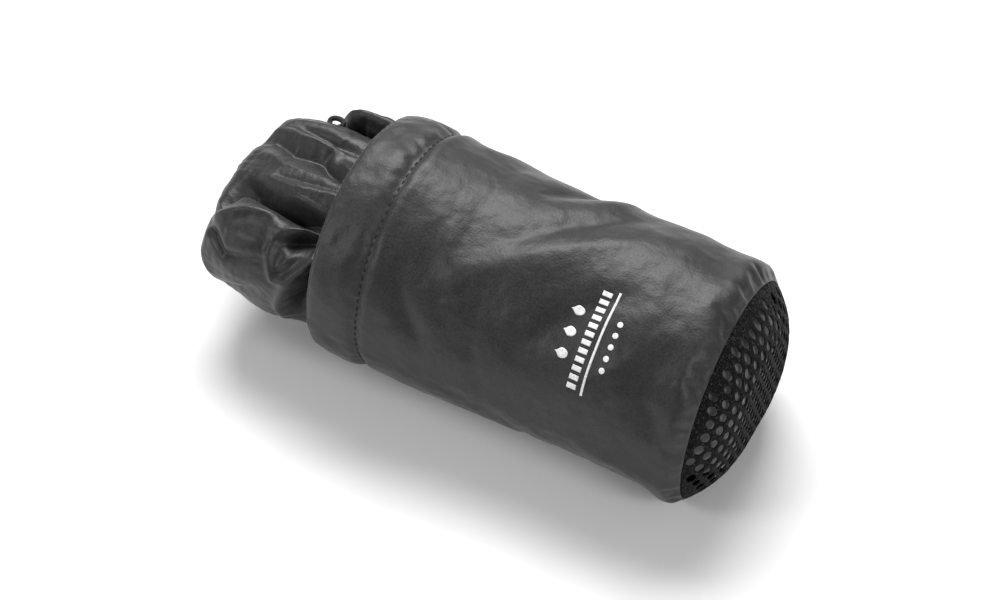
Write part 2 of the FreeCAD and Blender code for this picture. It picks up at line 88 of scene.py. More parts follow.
def d_point(half_width, height, share, base=0.0):
    """(y, z) at a share of the way round a flat-bottomed section, from the middle of its underside."""
    corner = height - half_width
    flat = half_width - corner
    quarter = corner * math.pi / 2
    top = half_width * math.pi
    at = (share % 1.0) * (2 * flat + 2 * quarter + top)
    if at <= flat:
        return at, base
    at -= flat
    if at <= quarter:
        angle = at / corner - math.pi / 2
        return flat + corner * math.cos(angle), base + corner + corner * math.sin(angle)
    at -= quarter
    if at <= top:
        angle = at / half_width
        return half_width * math.cos(angle), base + corner + half_width * math.sin(angle)
    at -= top
    if at <= quarter:
        angle = at / corner + math.pi
        return -flat + corner * math.cos(angle), base + corner + corner * math.sin(angle)
    return -flat + (at - quarter), base


def smoothstep(low, high, value):
    t = min(1.0, max(0.0, (value - low) / (high - low)))
    return t * t * (3 - 2 * t)


def bell(distance, width):
    return math.exp(-((distance / width) ** 2))


def grid_mesh(name, rows, closed_end=False):
    """A tube from rows of points, each row a closed loop. closed_end caps the last row."""
    n_rows, n_cols = len(rows), len(rows[0])
    points = [tuple(p) for row in rows for p in row]
    faces = []
    for i in range(n_rows - 1):
        for j in range(n_cols):
            k = (j + 1) % n_cols
            faces.append((i * n_cols + j, i * n_cols + k, (i + 1) * n_cols + k, (i + 1) * n_cols + j))
    if closed_end:
        centre = len(points)
        last = (n_rows - 1) * n_cols
        points.append(tuple(np.mean(np.array(rows[-1]), axis=0)))
        faces += [(last + j, last + (j + 1) % n_cols, centre) for j in range(n_cols)]
    mesh = bpy.data.meshes.new(name)
    mesh.from_pydata(points, [], faces)
    mesh.update()
    return link(name, mesh)


def grid_normals(grid):
    """Outward normals of a grid of rows, each a closed loop."""
    around = np.roll(grid, -1, axis=1) - np.roll(grid, 1, axis=1)
    along = np.gradient(grid, axis=0)
    normals = np.cross(around, along)
    normals /= np.maximum(np.linalg.norm(normals, axis=2, keepdims=True), 1e-12)
    outward = grid - grid.mean(axis=1, keepdims=True)
    if (normals * outward).sum() < 0:
        normals = -normals
    return normals


def evenly(values, outline, step):
    """Picks from values, so that steps along the outline that they give are all as long."""
    lengths = np.concatenate([[0], np.cumsum(np.linalg.norm(np.diff(outline, axis=0), axis=1))])
    return np.interp(np.linspace(0, lengths[-1], round(lengths[-1] / step) + 1), lengths, values)


def get_points(obj):
    points = np.empty(len(obj.data.vertices) * 3)
    obj.data.vertices.foreach_get("co", points)
    return points.reshape(-1, 3)


def set_points(obj, points):
    obj.data.vertices.foreach_set("co", np.asarray(points, float).ravel())
    obj.data.update()


def shade_smooth(obj):
    obj.data.polygons.foreach_set("use_smooth", [True] * len(obj.data.polygons))
    obj.data.update()


def apply_modifiers(obj):
    shaped = obj.evaluated_get(bpy.context.evaluated_depsgraph_get())
    old = obj.data
    obj.data = bpy.data.meshes.new_from_object(shaped)
    obj.modifiers.clear()
    bpy.data.meshes.remove(old)
    shade_smooth(obj)


def subdivide(obj, levels):
    modifier = obj.modifiers.new("smooth", "SUBSURF")
    modifier.levels = modifier.render_levels = levels
    apply_modifiers(obj)


def surface_of(obj):
    """A search tree over a mesh, for finding points on it."""
    mesh = obj.data
    return BVHTree.FromPolygons([v.co for v in mesh.vertices], [p.vertices for p in mesh.polygons])


def on_sack(tree, x, angle, lift):
    """The point and normal on the sack's outside at x and an angle from straight up towards -Y."""
    outward = Vector((0, -math.sin(angle), math.cos(angle)))
    start = Vector((x, 0, AXIS_Z)) + outward * OUTSIDE
    point, normal, _, _ = tree.ray_cast(start, -outward)
    if point is None:
        point, normal, _, _ = tree.find_nearest(start)
    if normal.dot(outward) < 0:
        normal = -normal
    return point + normal * lift, normal


def add_tube(bm, path, radius, sides=6, closed=False):
    """A round tube along a short path of points."""
    rings = []
    count = len(path)
    for i, point in enumerate(path):
        after = path[(i + 1) % count] if closed or i + 1 < count else path[i]
        before = path[i - 1] if closed or i > 0 else path[i]
        along = (after - before).normalized()
        side = along.orthogonal() if i == 0 else rings[-1][1]
        side = (side - along * side.dot(along)).normalized()
        up = along.cross(side)
        turns = [k * TURN / sides for k in range(sides)]
        ring = [bm.verts.new(point + (side * math.cos(t) + up * math.sin(t)) * radius) for t in turns]
        rings.append((ring, side))
    pairs = list(zip(rings, rings[1:])) + ([(rings[-1], rings[0])] if closed else [])
    for (a, _), (b, _) in pairs:
        for k in range(sides):
            bm.faces.new((a[k], a[(k + 1) % sides], b[(k + 1) % sides], b[k]))
    if not closed:
        bm.faces.new(list(reversed(rings[0][0])))
        bm.faces.new(rings[-1][0])


def from_bmesh(name, bm):
    mesh = bpy.data.meshes.new(name)
    bm.normal_update()
    bm.to_mesh(mesh)
    bm.free()
    obj = link(name, mesh)
    shade_smooth(obj)
    return obj


# ---- cloth

SIM_SCALE = 10.0  # cloth behaves better when it is simulated at ten times its size


def simulate(obj, pins, slack, most_slack, least_slack, frames, pressure, bending, stiffness=15):
    """Lets the cloth relax from its present shape.

    pins holds how firmly each point is held, from 0 to 1. slack holds where each point's cloth lies between
    least_slack and most_slack, the shares by which it is longer than the shape that it starts from."""
    set_points(obj, get_points(obj) * SIM_SCALE)
    held = obj.vertex_groups.new(name="held")
    tight = obj.vertex_groups.new(name="tight")
    for i, (pin, loose) in enumerate(zip(pins, slack)):
        if pin > 0:
            held.add([i], pin, "REPLACE")
        tight.add([i], 1 - loose, "REPLACE")
    cloth = obj.modifiers.new("cloth", "CLOTH")
    settings = cloth.settings
    settings.quality = 5
    settings.mass = 0.05
    settings.air_damping = 1
    settings.tension_stiffness = stiffness
    settings.compression_stiffness = stiffness
    settings.shear_stiffness = stiffness / 3
    settings.bending_stiffness = bending
    settings.tension_damping = settings.compression_damping = settings.shear_damping = 1
    settings.vertex_group_mass = "held"
    settings.pin_stiffness = 5
    settings.vertex_group_shrink = "tight"
    settings.shrink_min = -most_slack
    settings.shrink_max = -least_slack
    settings.use_pressure = True
    settings.uniform_pressure_force = pressure
    settings.effector_weights.gravity = 0
    cloth.collision_settings.use_collision = False
    cloth.point_cache.frame_start = 1
    cloth.point_cache.frame_end = frames
    scene = bpy.context.scene
    for number in range(1, frames + 1):
        scene.frame_set(number)
    shaped = obj.evaluated_get(bpy.context.evaluated_depsgraph_get())
    result = np.empty(len(obj.data.vertices) * 3)
    shaped.data.vertices.foreach_get("co", result)
    obj.modifiers.clear()
    obj.vertex_groups.clear()
    scene.frame_set(1)
    set_points(obj, result.reshape(-1, 3) / SIM_SCALE)


# ---- the sack

SACK_COLUMNS = 176
BAND_ROWS = 13
PANEL_ROWS = 74
STITCH_PINCH = 1.3 * MM
SEAM_TUCK = 1.3 * MM
BELLY_INSET = 1.2 * MM  # the panel starts this much smaller, because it swells


def sack_section(x):
    """(half width, height) of the sack at x, as the CAD has it."""
    if x <= BAND_END_X:
        return BAND
    run = (x - BAND_END_X) / (SEAM_X - BAND_END_X)
    stations = (0, BELLY_SHARE, 1 - BELLY_SHARE, 1)
    half_width = np.interp(run, stations, (BAND[0], BELLY[0], BELLY[0], SEAM[0]))
    height = np.interp(run, stations, (BAND[1], BELLY[1], BELLY[1], SEAM[1]))
    return half_width, height


# Soft creases and swells in the panel, where the folded cover presses on it or leaves it slack. Each is a
# route over the panel, then its half width and height in mm; a negative height is a dent. A route's points
# are (distance from the hem's stitches in mm, angle in degrees from straight up towards -Y).
PANEL_STROKES = (
    (((93, -14), (59, 16), (25, 48)), 7, 2.0),
    (((83, -30), (63, -6), (41, 20)), 6, -2.2),
    (((105, 8), (79, 36), (57, 66)), 7, -2.0),
    (((119, 22), (101, 50), (79, 76)), 7, 1.6),
    (((11, 50), (27, 76)), 4, -1.8),
    (((17, 14), (37, 46)), 6, 1.6),
    (((43, 58), (53, 92)), 5, -1.6),
    (((63, -54), (53, -34), (43, -16)), 5, -3.0),
    (((75, -52), (65, -24)), 5, 2.0),
    (((13, -34), (33, -58)), 7, 1.6),
    (((109, -34), (125, -6)), 5, -1.4),
    (((113, 58), (127, 84)), 5, -1.6),
    (((89, 92), (117, 108)), 7, 1.4),
    (((29, 96), (69, 112)), 7, -1.4),
    (((19, -110), (89, -125)), 8, 1.4),
)


STEPS_PER_STOP = 22


def stroke_heights(points, strokes, place):
    """How far each point is pushed out by strokes whose routes are turned into points by place."""
    total = np.zeros(len(points))
    for route, half, height in strokes:
        steps = np.linspace(0, len(route) - 1, STEPS_PER_STOP * (len(route) - 1) + 1)
        firsts = np.interp(steps, range(len(route)), [stop[0] for stop in route])
        seconds = np.interp(steps, range(len(route)), [stop[1] for stop in route])
        path = np.array([place(a, b) for a, b in zip(firsts, seconds)])
        gaps = np.linalg.norm(points[:, None, :] - path[None, :, :], axis=2)
        run = np.clip(gaps.argmin(axis=1) / (len(path) - 1), 0.03, 0.97)
        across = np.exp(-((gaps.min(axis=1) / (half * MM)) ** 1.5))
        total += height * MM * across * np.sin(math.pi * run) ** 0.5
    return total


BAND_CREASES = 60
SACK_FRAMES = 50
GATHER = 0.115  # how much longer than its seam the gathered cloth is
EASE = 0.008  # how much longer than its shape the rest of the cloth is
FLAT_HALF = 20 * MM  # half the width on which the sack rests
FLOOR_HOLD = 0.3
MOUTH_HOLD = 0.8


def on_panel(x, degrees):
    """A point on the sack's plain shape, from a distance past the hem's stitches in mm and an angle."""
    angle = math.radians(degrees)
    x = STITCH_X + x * MM
    half_width, height = sack_section(x)
    return x, -math.sin(angle) * half_width, AXIS_Z + math.cos(angle) * (height - AXIS_Z)


def sack_row(x, firmness):
    """One row of the sack's points at x, before its cloth is let go, and how firmly each point is held."""
    half_width, height = sack_section(x)
    run = min(1, max(0, (x - STITCH_X) / (SEAM_X - STITCH_X)))
    pinch = STITCH_PINCH * bell(x - STITCH_X, 2 * MM) + SEAM_TUCK * bell(x - SEAM_X, 4 * MM)
    inset = BELLY_INSET * math.sin(math.pi * run) ** 0.6
    half_width -= inset
    height -= inset
    row, pins = [], []
    for j in range(SACK_COLUMNS):
        y, z = d_point(half_width - pinch, height - 2 * pinch, j / SACK_COLUMNS, pinch)
        jitter = 0.25 * MM * noise.noise(Vector((x, y, z)) * 160)
        jitter += 0.15 * MM * noise.noise(Vector((x, y, z)) * 420)
        outward = Vector((0, y, z - height / 2)).normalized()
        row.append(Vector((x, y, z)) + outward * jitter)
        on_floor = z < 0.5 * MM and abs(y) < FLAT_HALF
        pins.append(max(firmness, FLOOR_HOLD if on_floor else 0))
    return row, pins


def sack_slack(x):
    """How slack the sack's cloth is at x: most at the mesh seam, and a little in the gathered band."""
    in_band = 0.12 if x < STITCH_X else 0
    in_band += 0.1 * bell(x - STITCH_X, 5 * MM)
    return min(1, bell(x - SEAM_X, 13 * MM) + in_band)


def band_strokes():
    """Short random creases across the band."""
    strokes = []
    for _ in range(BAND_CREASES):
        x, turn = random.uniform(-15, -4), random.uniform(-180, 180)
        run, lean = random.uniform(3, 8), random.uniform(-6, 6)
        route = ((x - run / 2, turn - lean), (x + run / 2, turn + lean))
        strokes.append((route, random.uniform(1.2, 3.0), random.choice((-0.8, -0.5, 0.5, 0.7))))
    return strokes


def crease_sack(points):
    """Pushes the sack's points out and in along its creases, but not at the stitches or the mesh seam."""
    push = stroke_heights(points, PANEL_STROKES, on_panel)
    push += stroke_heights(points, band_strokes(), on_panel)
    for point, height in zip(points, push):
        angle = math.atan2(-point[1], point[2] - AXIS_Z)
        spot = Vector(point)
        height += (noise.noise(spot * 38) * 0.55 + noise.noise(spot * 95) * 0.22) * MM
        height *= smoothstep(1.5 * MM, 8 * MM, abs(point[0] - STITCH_X))
        height *= 1 - smoothstep(SEAM_X - 10 * MM, SEAM_X - 2 * MM, point[0])
        point[1] += -math.sin(angle) * height
        point[2] += math.cos(angle) * height
        if point[2] < 0:
            point[2] *= 0.1


def make_sack():
    """The band and panel as one cloth: gathered at the stitch line and at the mesh seam, then let go."""
    xs = list(np.linspace(MOUTH_X, STITCH_X, BAND_ROWS))
    xs += list(np.linspace(STITCH_X, SEAM_X, PANEL_ROWS + 1)[1:])
    firmness = {0: MOUTH_HOLD, BAND_ROWS - 1: 1.0, len(xs) - 1: 1.0}
    rows, pins, slack = [], [], []
    for i, x in enumerate(xs):
        row, held = sack_row(x, firmness.get(i, 0))
        rows.append(row)
        pins += held
        slack += [sack_slack(x)] * SACK_COLUMNS
    sack = grid_mesh("sack_cloth", rows)
    simulate(sack, pins, slack, GATHER, EASE, frames=SACK_FRAMES, pressure=3, bending=4)
    points = get_points(sack)
    crease_sack(points)
    set_points(sack, points)
    return sack, points.reshape(len(xs), SACK_COLUMNS, 3)


def inner_layer(name, rows, first, last, depths, span=None):
    """A closed band of cloth under some of the sack's rows, between two depths below its surface.

    span limits it to some columns, as (first, last); otherwise it goes all the way round."""
    outer, inner = depths
    grid = rows[first : last + 1]
    normals = grid_normals(grid)
    outward = grid - np.array([0, 0, AXIS_Z])
    outward[:, :, 0] = 0
    normals *= np.sign((normals * outward).sum(axis=2, keepdims=True))
    top = grid - normals * outer
    bottom = grid - normals * inner
    if span is None:
        loop = list(top) + list(bottom[::-1])
        layer = grid_mesh(name, loop + [loop[0]])
        bm = bmesh.new()
        bm.from_mesh(layer.data)
        bmesh.ops.remove_doubles(bm, verts=bm.verts, dist=1e-7)
        bm.to_mesh(layer.data)
        bm.free()
    else:
        columns = range(span[0], span[1] + 1)
        loops = [[top[i][j % len(top[i])] for i in range(len(top))] for j in columns]
        under = [[bottom[i][j % len(top[i])] for i in range(len(top))] for j in columns]
        loop = [a + b[::-1] for a, b in zip(loops, under)]
        layer = grid_mesh(name, loop, closed_end=True)
    shade_smooth(layer)
    return layer


LIP_RADIUS = 1.1 * MM


def make_lip(rows):
    """The turned edge of the mouth, and the inner layer of the band that it rolls over into."""
    radius = LIP_RADIUS
    outward = rows[:BAND_ROWS] - np.array([0, 0, AXIS_Z])
    outward[:, :, 0] = 0
    outward /= np.linalg.norm(outward, axis=2, keepdims=True)
    ahead = np.array([-1.0, 0, 0])
    turned = []
    for angle in np.linspace(0, math.pi, 7):
        inward = outward[0] * radius * (1 - math.cos(angle))
        turned.append(rows[0] - inward + ahead * radius * math.sin(angle))
    inner = [rows[i] - outward[i] * 2 * radius for i in range(1, BAND_ROWS - 1)]
    lip = grid_mesh("band_facing_cloth", turned + inner)
    shade_smooth(lip)
    return lip


STITCH_RADIUS = 0.22 * MM
STITCH_LENGTH = 2.2 * MM
STITCH_PITCH = 3 * MM
STITCH_PROFILE = ((-0.5, -0.35), (-0.36, 0.12), (0, 0.3), (0.36, 0.12), (0.5, -0.35))  # (share, height in mm)


def make_stitch_row(name, places):
    """Stitches lying on a surface. Each place is (middle, direction, normal)."""
    bm = bmesh.new()
    for middle, along, normal in places:
        path = [middle + along * (t * STITCH_LENGTH) + normal * (lift * MM) for t, lift in STITCH_PROFILE]
        add_tube(bm, path, STITCH_RADIUS)
    return from_bmesh(name, bm)


def stitches_round(tree, x, lift=0.0):
    """Places for stitches all round the sack at x."""
    radius = (BAND[0] + BAND[1] / 2) / 2
    count = round(TURN * radius / STITCH_PITCH)
    step = TURN / count
    places = []
    for i in range(count):
        before, _ = on_sack(tree, x, (i - 0.3) * step, 0)
        after, _ = on_sack(tree, x, (i + 0.3) * step, 0)
        middle, normal = on_sack(tree, x, i * step, lift)
        places.append((middle, (after - before).normalized(), normal))
    return places


def stitches_along(tree, node, depth):
    """Places for stitches along a CAD node that runs the length of the sack, this far under its surface."""
    low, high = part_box(node)
    middle = (low + high) / 2
    angle = math.atan2(-middle.y, middle.z - AXIS_Z)
    places = []
    for x in np.arange(low.x + STITCH_PITCH, high.x - STITCH_PITCH, STITCH_PITCH):
        here, normal = on_sack(tree, x, angle, -depth)
        after, _ = on_sack(tree, x + STITCH_PITCH / 3, angle, -depth)
        places.append((here, (after - here).normalized(), -normal))
    return places


# ---- the mesh bottom

HOLE_PITCH = 5.2 * MM
HOLE_HALF = (1.4 * MM, 1.95 * MM)
HOLE_SIDES = 12
LAST_HOLE = 0.95  # the share of the way out to the seam from which holes are closed
LAST_CELL = 1.12  # the share at which the last cells are tucked under the cloth
YARN = 0.7 * MM


def dome_height(y, z):
    """How far the mesh bottom bulges past its seam at (y, z), and its share of the way out to the seam."""
    centre_z = SEAM[1] / 2
    reach = math.hypot(y, z - centre_z)
    if reach < 1e-9:
        return TIP_X - SEAM_X, 0.0
    low, high = 0.0, 2.0
    for _ in range(24):
        middle = (low + high) / 2
        if inside_section(y * middle, centre_z + (z - centre_z) * middle):
            low = middle
        else:
            high = middle
    share = 1 / low if low > 0 else 9.0
    return (TIP_X - SEAM_X) * max(0.0, 1 - share**3.6), share


def inside_section(y, z):
    """Whether (y, z) lies inside the sack's section at the mesh seam."""
    half_width, height = SEAM[0] - SEAM_TUCK, SEAM[1] - 2 * SEAM_TUCK
    z -= SEAM_TUCK
    corner = height - half_width
    if not 0 <= z <= height or abs(y) > half_width:
        return False
    if z >= corner:
        return math.hypot(y, z - corner) <= half_width
    return abs(y) <= half_width - corner or math.hypot(abs(y) - half_width + corner, z - corner) <= corner


def dome_point(y, z):
    """(y, z) carried onto the mesh bottom; points past the seam are drawn back to it and under the cloth."""
    height, share = dome_height(y, z)
    if share <= 1:
        return Vector((SEAM_X + height, y, z))
    centre_z = SEAM[1] / 2
    drawn_in = 1 / share - min(0.03, (share - 1) * 0.4)
    tucked_in = SEAM_X - min(3 * MM, (share - 1) * 20 * MM)
    return Vector((tucked_in, y * drawn_in, centre_z + (z - centre_z) * drawn_in))


def add_mesh_cell(bm, y, z, share):
    """One six-sided cell of the mesh round an oval hole, which is closed beside the seam."""
    wobble = Vector((noise.noise(Vector((y, z, 1)) * 90), noise.noise(Vector((y, z, 5)) * 90), 0))
    wobble *= 0.5 * MM
    size = 1 + 0.22 * noise.noise(Vector((y, z, 9)) * 140)
    inner, outer = [], []
    for k in range(HOLE_SIDES):
        angle = k * TURN / HOLE_SIDES
        sector = angle % (math.pi / 3) - math.pi / 6
        far = HOLE_PITCH / 2 / math.cos(sector)
        ray = Vector((math.sin(angle), math.cos(angle), 0))
        outer.append(bm.verts.new(dome_point(y + ray.x * far, z + ray.y * far)))
        hole_y = y + ray.x * HOLE_HALF[0] * size + wobble.x
        hole_z = z + ray.y * HOLE_HALF[1] * size + wobble.y
        inner.append(bm.verts.new(dome_point(hole_y, hole_z)))
    for k in range(HOLE_SIDES):
        n = (k + 1) % HOLE_SIDES
        bm.faces.new((inner[k], inner[n], outer[n], outer[k]))
    if share >= LAST_HOLE:
        bm.faces.new(inner)


def roughen_yarn(knit):
    """Makes the mesh's smooth strands fibrous."""
    points = get_points(knit)
    for point in points:
        rough = noise.noise(Vector(point) * 1500) * 0.10 + noise.noise(Vector(point) * 600) * 0.12
        point[0] += rough * MM
        point[1] += noise.noise(Vector(point) * 1300 + Vector((5, 5, 5))) * 0.08 * MM
        point[2] += noise.noise(Vector(point) * 1300 + Vector((9, 1, 5))) * 0.08 * MM
    set_points(knit, points)


def make_knit():
    """The knitted mesh: staggered oval holes in a doubled yarn."""
    bm = bmesh.new()
    row_step = HOLE_PITCH * math.sqrt(3) / 2
    limit = int(SEAM[0] / row_step) + 2
    centre_z = SEAM[1] / 2
    for i in range(-limit, limit + 1):
        for j in range(-limit, limit + 1):
            y = (j + 0.5 * (i % 2)) * HOLE_PITCH
            z = centre_z + i * row_step
            _, share = dome_height(y, z)
            if share <= LAST_CELL:
                add_mesh_cell(bm, y, z, share)
    bmesh.ops.remove_doubles(bm, verts=bm.verts, dist=0.12 * MM)
    bmesh.ops.dissolve_degenerate(bm, dist=0.02 * MM, edges=bm.edges)
    knit = from_bmesh("mesh_knit", bm)
    thick = knit.modifiers.new("yarn", "SOLIDIFY")
    thick.thickness = YARN
    thick.offset = -1
    apply_modifiers(knit)
    subdivide(knit, 2)
    roughen_yarn(knit)
    return knit


# ---- the cover

FOLD_ROW = 1.3 * MM
FOLD_ROOT = 8 * MM  # how far the folds carry on inside the mouth
FOLD_ROUND = 0.88  # the share of the way out from which a fold rounds off
FOLD_TIP = 0.04  # the size of a fold's last row
FOLD_CLEAR = 0.6 * MM  # the height of a fold's cloth over the floor, at least
FOLD_SLACK = 0.015

# Ridges and valleys of the folds. Each is a route over the fold, then its half width and height in mm.
# A route's points are (share of the way from the mouth to the tip, angle from straight up towards -Y).
MAIN_FOLD_STROKES = (
    (((-0.1, -38), (0.15, -38), (0.45, -41)), 8.0, -3.6),
    (((0.9, -58), (0.93, -20), (0.93, 20), (0.94, 56)), 6.0, 2.4),
    (((0.02, -46), (0.4, -45), (0.59, -47), (0.8, -50)), 2.6, -4.0),
    (((0.1, -42), (0.26, -44), (0.45, -41), (0.68, -41), (0.86, -50)), 2.4, 2.6),
    (((-0.05, -6), (0.16, -11), (0.44, -30), (0.66, -27), (0.86, -38)), 3.4, -5.5),
    (((0.12, -22), (0.3, -34)), 1.8, 1.6),
    (((0.0, 3), (0.12, 3), (0.59, -2), (0.86, -20)), 4.0, 2.8),
    (((0.05, 10), (0.27, 10), (0.6, 11)), 1.2, -1.2),
    (((0.0, 15), (0.13, 16), (0.44, 20), (0.78, 15), (0.88, 14)), 3.0, 3.0),
    (((-0.08, 32), (0.08, 32), (0.37, 34), (0.55, 30), (0.77, 25), (0.83, 42), (0.9, 58)), 3.8, -11.0),
    (((0.05, 28), (0.25, 26), (0.44, 25)), 1.4, 2.4),
    (((-0.06, 41), (0.08, 40), (0.21, 39), (0.38, 36)), 2.6, -5.0),
    (((0.38, 39), (0.61, 46), (0.75, 54), (0.88, 62)), 2.4, 3.2),
    (((0.4, 60), (0.57, 63), (0.74, 62)), 8.0, 1.4),
    (((0.96, 70), (0.82, 69), (0.69, 77), (0.44, 70)), 1.8, -2.6),
    (((1.0, 78), (0.92, 88), (0.84, 100), (0.78, 116)), 4.0, 1.6),
    (((0.32, 50), (0.18, 43), (0.05, 41)), 1.9, 3.6),
    (((0.29, 58), (0.18, 52), (0.06, 48), (-0.06, 48)), 4.2, -9.0),
    (((0.35, 56), (0.35, 66), (0.29, 78), (0.2, 77), (0.03, 61)), 1.8, 3.0),
    (((0.27, 72), (0.17, 60)), 1.4, 2.2),
    (((0.03, 61), (0.12, 72), (0.19, 82), (0.25, 97), (0.26, 114)), 2.8, 3.8),
    (((-0.06, 66), (0.04, 76), (0.1, 92), (0.12, 112)), 4.4, -10.0),
    (((0.4, 92), (0.58, 102), (0.78, 112)), 3.2, -2.4),
    (((0.3, 120), (0.5, 126), (0.8, 130)), 4.0, 2.4),
    (((0.0, 142), (0.4, 150), (0.9, 160)), 4.0, -4.0),
    (((0.0, 172), (0.5, 176), (0.9, 176)), 4.0, 2.4),
    (((0.0, -156), (0.4, -162), (0.9, -168)), 4.0, -5.0),
    (((0.0, -128), (0.4, -134), (0.9, -140)), 4.0, 2.4),
    (((0.0, -112), (0.5, -112), (0.9, -116)), 3.0, -4.0),
    (((0.0, -94), (0.5, -92), (0.9, -94)), 3.4, 2.2),
    (((0.0, -78), (0.4, -76), (0.85, -78)), 2.6, -3.4),
    (((0.0, -60), (0.4, -62), (0.9, -64)), 3.0, 2.0),
)
BACK_FOLD_STROKES = (
    (((0.0, 125), (0.5, 125), (0.8, 118)), 8.0, 4.5),
    (((0.66, 16), (0.64, 60), (0.56, 100)), 1.3, -2.2),
    (((0.78, 0), (0.95, 8)), 3.0, -1.2),
    (((0.25, -4), (0.52, -4)), 3.0, 1.4),
    (((0.1, 40), (0.45, 74), (0.5, 104)), 2.0, -1.4),
    (((0.0, -60), (0.4, -60), (0.8, -50)), 3.0, -2.2),
    (((0.1, -100), (0.5, -100), (0.9, -90)), 3.0, 2.0),
)


SECTION_TURNS = np.linspace(-math.pi, math.pi, 73)  # angles from straight up towards -Y


def cad_section(nodes, x):
    """The outline round some CAD nodes where they are cut at x: its middle, and its radius at each turn."""
    cuts = []
    for node in nodes:
        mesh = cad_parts[node].data
        points = np.array([vertex.co for vertex in mesh.vertices])
        edges = np.array([edge.vertices for edge in mesh.edges])
        first, second = points[edges[:, 0]], points[edges[:, 1]]
        crossing = (first[:, 0] - x) * (second[:, 0] - x) < 0
        a, b = first[crossing], second[crossing]
        cuts.append((a + (b - a) * ((x - a[:, 0]) / (b[:, 0] - a[:, 0]))[:, None])[:, 1:])
    cut = np.concatenate(cuts)
    middle = (cut.max(axis=0) + cut.min(axis=0)) / 2
    facing = np.linspace(-math.pi, math.pi, 181)
    reach = ((cut - middle) @ np.array([-np.sin(facing), np.cos(facing)])).max(axis=0)
    radii = []
    for turn in SECTION_TURNS:
        lean = np.cos(facing - turn)
        radii.append((reach[lean > 0.01] / lean[lean > 0.01]).min())
    return np.concatenate([middle, radii])


def fold_size(share):
    """How much smaller than its CAD section a fold is: drawn in at its root and rounded off at its tip."""
    if share < 0.06:
        return 1 - 0.9 * (0.06 - share)
    past = (share - FOLD_ROUND) / (1.0001 - FOLD_ROUND)
    return 1.0 if past < 0 else max(FOLD_TIP, math.sqrt(1 - past * past))


def crumple_fold(grid, rows_at, seed):
    """How far each point of a fold is pushed out by small lumps and by pleats that run along it."""
    push = []
    columns = grid.shape[1]
    for share, row in zip(rows_at, grid):
        for j, point in enumerate(row):
            turn = TURN * j / columns
            pleats = Vector((share * 1.6, math.cos(turn) * 5, math.sin(turn) * 5)) + Vector((seed, 0, 0))
            lumps = noise.noise(Vector(point) * 45) * 0.5 + noise.noise(pleats) * 0.5
            push.append((lumps + noise.noise(pleats * 2.3) * 0.15) * MM)
    return np.array(push)


def make_fold(name, nodes, columns, strokes, seed):
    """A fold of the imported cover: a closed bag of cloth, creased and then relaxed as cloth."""
    low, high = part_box(nodes[0])
    mouth, reach = high.x, high.x - low.x
    stations = np.linspace(0.02, 0.98, 14)
    sections = np.array([cad_section(nodes, mouth - reach * share) for share in stations])

    def place(share, degrees):
        here = [np.interp(share, stations, column) for column in sections.T]
        turn = (math.radians(degrees) + math.pi) % TURN - math.pi
        radius = np.interp(turn, SECTION_TURNS, here[2:]) * fold_size(share)
        return mouth - reach * share, here[0] - math.sin(turn) * radius, here[1] + math.cos(turn) * radius

    shares = np.linspace(-FOLD_ROOT / reach, 1, 600)
    half = sections[0][2:].mean()
    outline = [(share * reach, fold_size(share) * half) for share in shares]
    rows_at = evenly(shares, np.array(outline), FOLD_ROW)
    grid = np.array([[place(share, -360 * j / columns) for j in range(columns)] for share in rows_at])
    push = stroke_heights(grid.reshape(-1, 3), strokes, place) + crumple_fold(grid, rows_at, seed)
    grid = grid + grid_normals(grid) * push.reshape(grid.shape[:2] + (1,))
    grid[:, :, 2] = np.maximum(grid[:, :, 2], FOLD_CLEAR)
    fold = grid_mesh(name, grid, closed_end=True)
    pins = []
    for i, share in enumerate(rows_at):
        pins += [1.0 if i == 0 else 0.4 + 0.5 * bell(share, 0.05)] * columns
    pins.append(0.2)
    simulate(fold, pins, [1.0] * len(pins), FOLD_SLACK, FOLD_SLACK, frames=18, pressure=0.3, bending=12)
    points = get_points(fold)
    points[:, 2] = np.maximum(points[:, 2], FOLD_CLEAR)
    set_points(fold, points)
    add_cloth_map(fold, len(rows_at), columns, FOLD_ROW, FOLD_ROW)
    finish_bag(fold)
    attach(fold, "cover")
    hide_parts(*nodes)
    return fold


def finish_bag(obj):
    """Smooths a closed grid, then closes both of its ends. The last point is the middle of its far end."""
    bm = bmesh.new()
    bm.from_mesh(obj.data)
    bm.verts.ensure_lookup_table()
    bm.verts.remove(bm.verts[-1])
    bm.to_mesh(obj.data)
    bm.free()
    subdivide(obj, 1)
    bm = bmesh.new()
    bm.from_mesh(obj.data)
    rim = [edge for edge in bm.edges if edge.is_boundary]
    middle_x = sum(edge.verts[0].co.x for edge in rim) / len(rim)
    for side in (-1, 1):
        end = [edge for edge in rim if (edge.verts[0].co.x - middle_x) * side > 0]
        total = sum((edge.verts[0].co + edge.verts[1].co for edge in end), Vector())
        centre = bm.verts.new(total / len(end) / 2)
        for edge in end:
            bm.faces.new((edge.verts[0], edge.verts[1], centre))
    bmesh.ops.recalc_face_normals(bm, faces=bm.faces)
    bm.to_mesh(obj.data)
    bm.free()
    shade_smooth(obj)


def add_cloth_map(obj, n_rows, n_cols, row_step, column_step):
    """A map in metres over a grid, so that a weave's threads run along and across the cloth."""
    layer = obj.data.uv_layers.new(name="cloth")
    for face in obj.data.polygons:
        corners = [(v // n_cols, v % n_cols) for v in face.vertices if v < n_rows * n_cols]
        wraps = any(col == 0 for _, col in corners) and any(col == n_cols - 1 for _, col in corners)
        for loop, vertex in zip(face.loop_indices, face.vertices):
            row, col = divmod(vertex, n_cols)
            if vertex >= n_rows * n_cols:
                row, col = n_rows, corners[0][1]
            if wraps and col == 0:
                col = n_cols
            layer.data[loop].uv = (col * column_step, row * row_step)


